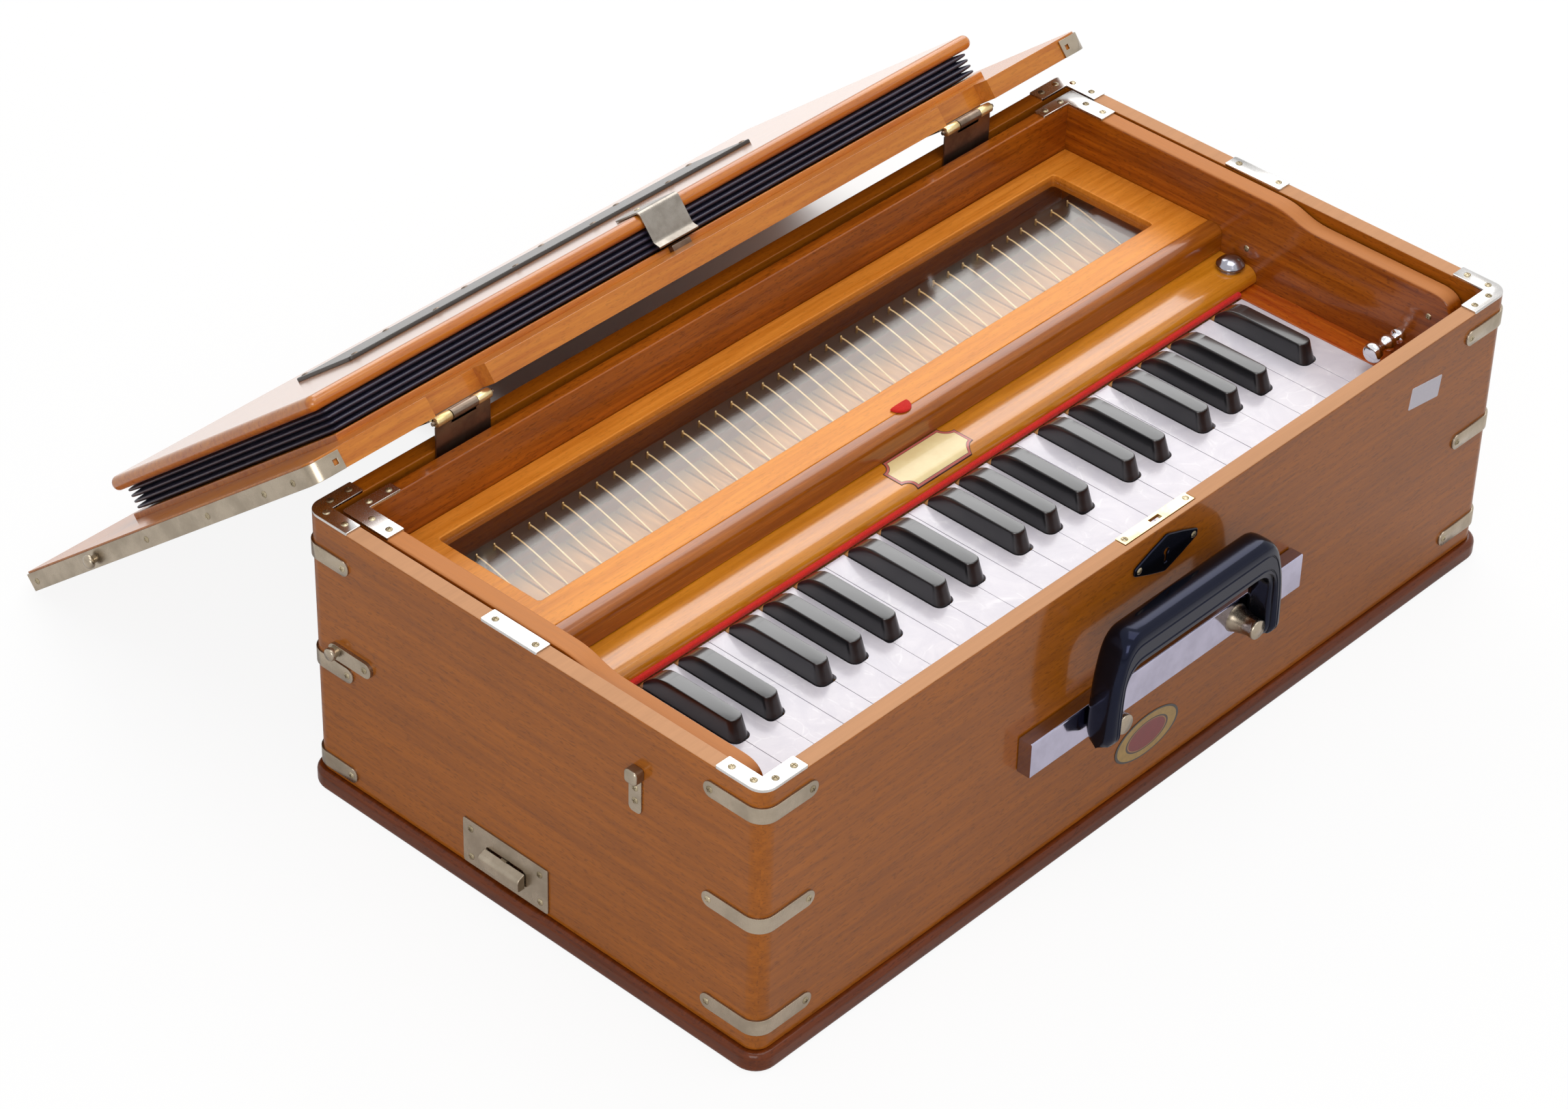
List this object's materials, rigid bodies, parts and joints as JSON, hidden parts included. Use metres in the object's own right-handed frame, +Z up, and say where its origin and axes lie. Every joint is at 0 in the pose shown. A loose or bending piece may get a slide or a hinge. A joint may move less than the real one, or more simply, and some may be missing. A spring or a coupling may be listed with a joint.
{
  "type": "harmonium",
  "caption": "Folding harmonium: a wooden case with an inner body of keys that lifts out, a glazed deck, a carrying handle and a hinged lid that carries the bellows.",
  "frame": {"origin": "centre of the case's underside, on the surface that it stands on", "axes": "+X to the treble end of the keyboard, +Y from the front with the handle to the lid's hinges, +Z up"},
  "size_m": [0.6076, 0.5782, 0.21],
  "materials": {
    "case_wood": "satin",
    "body_wood": "gloss",
    "deck_wood": "gloss",
    "ivory": "gloss",
    "ebony": "gloss",
    "nickel": "satin",
    "brass": "satin",
    "chrome": "mirror",
    "black_plastic": "gloss",
    "felt": "matte",
    "bellows_cloth": "matte",
    "dark_steel": "satin",
    "glass": "gloss"
  },
  "bodies": {
    "case": {"case_base": "case_wood", "case_walls": "case_wood", "lock_plate": "brass", "lock_escutcheon": "black_plastic", "handle_bar": "chrome", "hinge_leaf_left": "nickel", "hinge_leaf_right": "nickel"},
    "lid": {"lid_panel": "body_wood", "lid_strip_left": "nickel", "lid_strip_right": "nickel", "bellows_folds": "bellows_cloth"},
    "bellows_board": {"bellows_board": "body_wood", "bellows_clip": "chrome"},
    "inner_body": {"inner_body": "body_wood", "deck_board": "deck_wood", "window_glass": "glass", "key_cover": "deck_wood", "felt_strip": "felt", "spring_rail": "dark_steel"},
    "handle_grip": {"handle_grip": "black_plastic"},
    "latch_tab": {"latch_tab": "nickel"},
    "key_white_01": {"key_white_01": "ivory"},
    "key_black_01": {"key_black_01": "ebony"},
    "key_white_02": {"key_white_02": "ivory"},
    "key_black_02": {"key_black_02": "ebony"},
    "key_white_03": {"key_white_03": "ivory"},
    "key_white_04": {"key_white_04": "ivory"},
    "key_black_03": {"key_black_03": "ebony"},
    "key_white_05": {"key_white_05": "ivory"},
    "key_black_04": {"key_black_04": "ebony"},
    "key_white_06": {"key_white_06": "ivory"},
    "key_black_05": {"key_black_05": "ebony"},
    "key_white_07": {"key_white_07": "ivory"},
    "key_white_08": {"key_white_08": "ivory"},
    "key_black_06": {"key_black_06": "ebony"},
    "key_white_09": {"key_white_09": "ivory"},
    "key_black_07": {"key_black_07": "ebony"},
    "key_white_10": {"key_white_10": "ivory"},
    "key_white_11": {"key_white_11": "ivory"},
    "key_black_08": {"key_black_08": "ebony"},
    "key_white_12": {"key_white_12": "ivory"},
    "key_black_09": {"key_black_09": "ebony"},
    "key_white_13": {"key_white_13": "ivory"},
    "key_black_10": {"key_black_10": "ebony"},
    "key_white_14": {"key_white_14": "ivory"},
    "key_white_15": {"key_white_15": "ivory"},
    "key_black_11": {"key_black_11": "ebony"},
    "key_white_16": {"key_white_16": "ivory"},
    "key_black_12": {"key_black_12": "ebony"},
    "key_white_17": {"key_white_17": "ivory"},
    "key_white_18": {"key_white_18": "ivory"},
    "key_black_13": {"key_black_13": "ebony"},
    "key_white_19": {"key_white_19": "ivory"},
    "key_black_14": {"key_black_14": "ebony"},
    "key_white_20": {"key_white_20": "ivory"},
    "key_black_15": {"key_black_15": "ebony"},
    "key_white_21": {"key_white_21": "ivory"},
    "key_white_22": {"key_white_22": "ivory"},
    "key_black_16": {"key_black_16": "ebony"},
    "key_white_23": {"key_white_23": "ivory"}
  },
  "joints": [
    {"name": "lid_hinge", "type": "hinge", "parent": "case", "child": "lid", "pos_m": [0, 0.1469, 0.195], "axis": [-1, 0, 0], "range_deg": [-219.6, 0]},
    {"name": "bellows_swing", "type": "hinge", "parent": "lid", "child": "bellows_board", "pos_m": [0, 0.35139, 0.0492], "axis": [-1, 0, 0], "range_deg": [0, 12], "deforming": ["bellows_folds"]},
    {"name": "body_lift", "type": "slide", "parent": "case", "child": "inner_body", "axis": [0, 0, 1], "range_m": [0, 0.058]},
    {"name": "handle_turn", "type": "hinge", "parent": "case", "child": "handle_grip", "pos_m": [0.003, -0.1763, 0.091], "axis": [1, 0, 0], "range_deg": [0, 180]},
    {"name": "latch_slide", "type": "slide", "parent": "case", "child": "latch_tab", "axis": [0, 1, 0], "range_m": [-0.01, 0.01]},
    {"name": "key_white_01_press", "type": "hinge", "parent": "inner_body", "child": "key_white_01", "pos_m": [-0.23525, 0.0422, 0.106], "axis": [1, 0, 0], "range_deg": [0, 2.4], "stiffness_Nm_per_rad": 0.3, "springref_deg": -14.32},
    {"name": "key_black_01_press", "type": "hinge", "parent": "inner_body", "child": "key_black_01", "pos_m": [-0.22149, 0.0422, 0.106], "axis": [1, 0, 0], "range_deg": [0, 2.4], "stiffness_Nm_per_rad": 0.3, "springref_deg": -14.32},
    {"name": "key_white_02_press", "type": "hinge", "parent": "inner_body", "child": "key_white_02", "pos_m": [-0.20881, 0.0422, 0.106], "axis": [1, 0, 0], "range_deg": [0, 2.4], "stiffness_Nm_per_rad": 0.3, "springref_deg": -14.32},
    {"name": "key_black_02_press", "type": "hinge", "parent": "inner_body", "child": "key_black_02", "pos_m": [-0.19613, 0.0422, 0.106], "axis": [1, 0, 0], "range_deg": [0, 2.4], "stiffness_Nm_per_rad": 0.3, "springref_deg": -14.32},
    {"name": "key_white_03_press", "type": "hinge", "parent": "inner_body", "child": "key_white_03", "pos_m": [-0.18381, 0.0422, 0.106], "axis": [1, 0, 0], "range_deg": [0, 2.4], "stiffness_Nm_per_rad": 0.3, "springref_deg": -14.32},
    {"name": "key_white_04_press", "type": "hinge", "parent": "inner_body", "child": "key_white_04", "pos_m": [-0.17171, 0.0422, 0.106], "axis": [1, 0, 0], "range_deg": [0, 2.4], "stiffness_Nm_per_rad": 0.3, "springref_deg": -14.32},
    {"name": "key_black_03_press", "type": "hinge", "parent": "inner_body", "child": "key_black_03", "pos_m": [-0.15935, 0.0422, 0.106], "axis": [1, 0, 0], "range_deg": [0, 2.4], "stiffness_Nm_per_rad": 0.3, "springref_deg": -14.32},
    {"name": "key_white_05_press", "type": "hinge", "parent": "inner_body", "child": "key_white_05", "pos_m": [-0.14688, 0.0422, 0.106], "axis": [1, 0, 0], "range_deg": [0, 2.4], "stiffness_Nm_per_rad": 0.3, "springref_deg": -14.32},
    {"name": "key_black_04_press", "type": "hinge", "parent": "inner_body", "child": "key_black_04", "pos_m": [-0.13442, 0.0422, 0.106], "axis": [1, 0, 0], "range_deg": [0, 2.4], "stiffness_Nm_per_rad": 0.3, "springref_deg": -14.32},
    {"name": "key_white_06_press", "type": "hinge", "parent": "inner_body", "child": "key_white_06", "pos_m": [-0.12152, 0.0422, 0.106], "axis": [1, 0, 0], "range_deg": [0, 2.4], "stiffness_Nm_per_rad": 0.3, "springref_deg": -14.32},
    {"name": "key_black_05_press", "type": "hinge", "parent": "inner_body", "child": "key_black_05", "pos_m": [-0.10862, 0.0422, 0.106], "axis": [1, 0, 0], "range_deg": [0, 2.4], "stiffness_Nm_per_rad": 0.3, "springref_deg": -14.32},
    {"name": "key_white_07_press", "type": "hinge", "parent": "inner_body", "child": "key_white_07", "pos_m": [-0.09677, 0.0422, 0.106], "axis": [1, 0, 0], "range_deg": [0, 2.4], "stiffness_Nm_per_rad": 0.3, "springref_deg": -14.32},
    {"name": "key_white_08_press", "type": "hinge", "parent": "inner_body", "child": "key_white_08", "pos_m": [-0.08377, 0.0422, 0.106], "axis": [1, 0, 0], "range_deg": [0, 2.4], "stiffness_Nm_per_rad": 0.3, "springref_deg": -14.32},
    {"name": "key_black_06_press", "type": "hinge", "parent": "inner_body", "child": "key_black_06", "pos_m": [-0.07002, 0.0422, 0.106], "axis": [1, 0, 0], "range_deg": [0, 2.4], "stiffness_Nm_per_rad": 0.3, "springref_deg": -14.32},
    {"name": "key_white_09_press", "type": "hinge", "parent": "inner_body", "child": "key_white_09", "pos_m": [-0.05734, 0.0422, 0.106], "axis": [1, 0, 0], "range_deg": [0, 2.4], "stiffness_Nm_per_rad": 0.3, "springref_deg": -14.32},
    {"name": "key_black_07_press", "type": "hinge", "parent": "inner_body", "child": "key_black_07", "pos_m": [-0.04466, 0.0422, 0.106], "axis": [1, 0, 0], "range_deg": [0, 2.4], "stiffness_Nm_per_rad": 0.3, "springref_deg": -14.32},
    {"name": "key_white_10_press", "type": "hinge", "parent": "inner_body", "child": "key_white_10", "pos_m": [-0.03233, 0.0422, 0.106], "axis": [1, 0, 0], "range_deg": [0, 2.4], "stiffness_Nm_per_rad": 0.3, "springref_deg": -14.32},
    {"name": "key_white_11_press", "type": "hinge", "parent": "inner_body", "child": "key_white_11", "pos_m": [-0.02024, 0.0422, 0.106], "axis": [1, 0, 0], "range_deg": [0, 2.4], "stiffness_Nm_per_rad": 0.3, "springref_deg": -14.32},
    {"name": "key_black_08_press", "type": "hinge", "parent": "inner_body", "child": "key_black_08", "pos_m": [-0.00787, 0.0422, 0.106], "axis": [1, 0, 0], "range_deg": [0, 2.4], "stiffness_Nm_per_rad": 0.3, "springref_deg": -14.32},
    {"name": "key_white_12_press", "type": "hinge", "parent": "inner_body", "child": "key_white_12", "pos_m": [0.00459, 0.0422, 0.106], "axis": [1, 0, 0], "range_deg": [0, 2.4], "stiffness_Nm_per_rad": 0.3, "springref_deg": -14.32},
    {"name": "key_black_09_press", "type": "hinge", "parent": "inner_body", "child": "key_black_09", "pos_m": [0.01706, 0.0422, 0.106], "axis": [1, 0, 0], "range_deg": [0, 2.4], "stiffness_Nm_per_rad": 0.3, "springref_deg": -14.32},
    {"name": "key_white_13_press", "type": "hinge", "parent": "inner_body", "child": "key_white_13", "pos_m": [0.02995, 0.0422, 0.106], "axis": [1, 0, 0], "range_deg": [0, 2.4], "stiffness_Nm_per_rad": 0.3, "springref_deg": -14.32},
    {"name": "key_black_10_press", "type": "hinge", "parent": "inner_body", "child": "key_black_10", "pos_m": [0.04285, 0.0422, 0.106], "axis": [1, 0, 0], "range_deg": [0, 2.4], "stiffness_Nm_per_rad": 0.3, "springref_deg": -14.32},
    {"name": "key_white_14_press", "type": "hinge", "parent": "inner_body", "child": "key_white_14", "pos_m": [0.0547, 0.0422, 0.106], "axis": [1, 0, 0], "range_deg": [0, 2.4], "stiffness_Nm_per_rad": 0.3, "springref_deg": -14.32},
    {"name": "key_white_15_press", "type": "hinge", "parent": "inner_body", "child": "key_white_15", "pos_m": [0.0677, 0.0422, 0.106], "axis": [1, 0, 0], "range_deg": [0, 2.4], "stiffness_Nm_per_rad": 0.3, "springref_deg": -14.32},
    {"name": "key_black_11_press", "type": "hinge", "parent": "inner_body", "child": "key_black_11", "pos_m": [0.08145, 0.0422, 0.106], "axis": [1, 0, 0], "range_deg": [0, 2.4], "stiffness_Nm_per_rad": 0.3, "springref_deg": -14.32},
    {"name": "key_white_16_press", "type": "hinge", "parent": "inner_body", "child": "key_white_16", "pos_m": [0.09413, 0.0422, 0.106], "axis": [1, 0, 0], "range_deg": [0, 2.4], "stiffness_Nm_per_rad": 0.3, "springref_deg": -14.32},
    {"name": "key_black_12_press", "type": "hinge", "parent": "inner_body", "child": "key_black_12", "pos_m": [0.10681, 0.0422, 0.106], "axis": [1, 0, 0], "range_deg": [0, 2.4], "stiffness_Nm_per_rad": 0.3, "springref_deg": -14.32},
    {"name": "key_white_17_press", "type": "hinge", "parent": "inner_body", "child": "key_white_17", "pos_m": [0.11914, 0.0422, 0.106], "axis": [1, 0, 0], "range_deg": [0, 2.4], "stiffness_Nm_per_rad": 0.3, "springref_deg": -14.32},
    {"name": "key_white_18_press", "type": "hinge", "parent": "inner_body", "child": "key_white_18", "pos_m": [0.13123, 0.0422, 0.106], "axis": [1, 0, 0], "range_deg": [0, 2.4], "stiffness_Nm_per_rad": 0.3, "springref_deg": -14.32},
    {"name": "key_black_13_press", "type": "hinge", "parent": "inner_body", "child": "key_black_13", "pos_m": [0.1436, 0.0422, 0.106], "axis": [1, 0, 0], "range_deg": [0, 2.4], "stiffness_Nm_per_rad": 0.3, "springref_deg": -14.32},
    {"name": "key_white_19_press", "type": "hinge", "parent": "inner_body", "child": "key_white_19", "pos_m": [0.15607, 0.0422, 0.106], "axis": [1, 0, 0], "range_deg": [0, 2.4], "stiffness_Nm_per_rad": 0.3, "springref_deg": -14.32},
    {"name": "key_black_14_press", "type": "hinge", "parent": "inner_body", "child": "key_black_14", "pos_m": [0.16853, 0.0422, 0.106], "axis": [1, 0, 0], "range_deg": [0, 2.4], "stiffness_Nm_per_rad": 0.3, "springref_deg": -14.32},
    {"name": "key_white_20_press", "type": "hinge", "parent": "inner_body", "child": "key_white_20", "pos_m": [0.18143, 0.0422, 0.106], "axis": [1, 0, 0], "range_deg": [0, 2.4], "stiffness_Nm_per_rad": 0.3, "springref_deg": -14.32},
    {"name": "key_black_15_press", "type": "hinge", "parent": "inner_body", "child": "key_black_15", "pos_m": [0.19432, 0.0422, 0.106], "axis": [1, 0, 0], "range_deg": [0, 2.4], "stiffness_Nm_per_rad": 0.3, "springref_deg": -14.32},
    {"name": "key_white_21_press", "type": "hinge", "parent": "inner_body", "child": "key_white_21", "pos_m": [0.20617, 0.0422, 0.106], "axis": [1, 0, 0], "range_deg": [0, 2.4], "stiffness_Nm_per_rad": 0.3, "springref_deg": -14.32},
    {"name": "key_white_22_press", "type": "hinge", "parent": "inner_body", "child": "key_white_22", "pos_m": [0.21918, 0.0422, 0.106], "axis": [1, 0, 0], "range_deg": [0, 2.4], "stiffness_Nm_per_rad": 0.3, "springref_deg": -14.32},
    {"name": "key_black_16_press", "type": "hinge", "parent": "inner_body", "child": "key_black_16", "pos_m": [0.23293, 0.0422, 0.106], "axis": [1, 0, 0], "range_deg": [0, 2.4], "stiffness_Nm_per_rad": 0.3, "springref_deg": -14.32},
    {"name": "key_white_23_press", "type": "hinge", "parent": "inner_body", "child": "key_white_23", "pos_m": [0.24711, 0.0422, 0.106], "axis": [1, 0, 0], "range_deg": [0, 2.4], "stiffness_Nm_per_rad": 0.3, "springref_deg": -14.32}
  ]
}
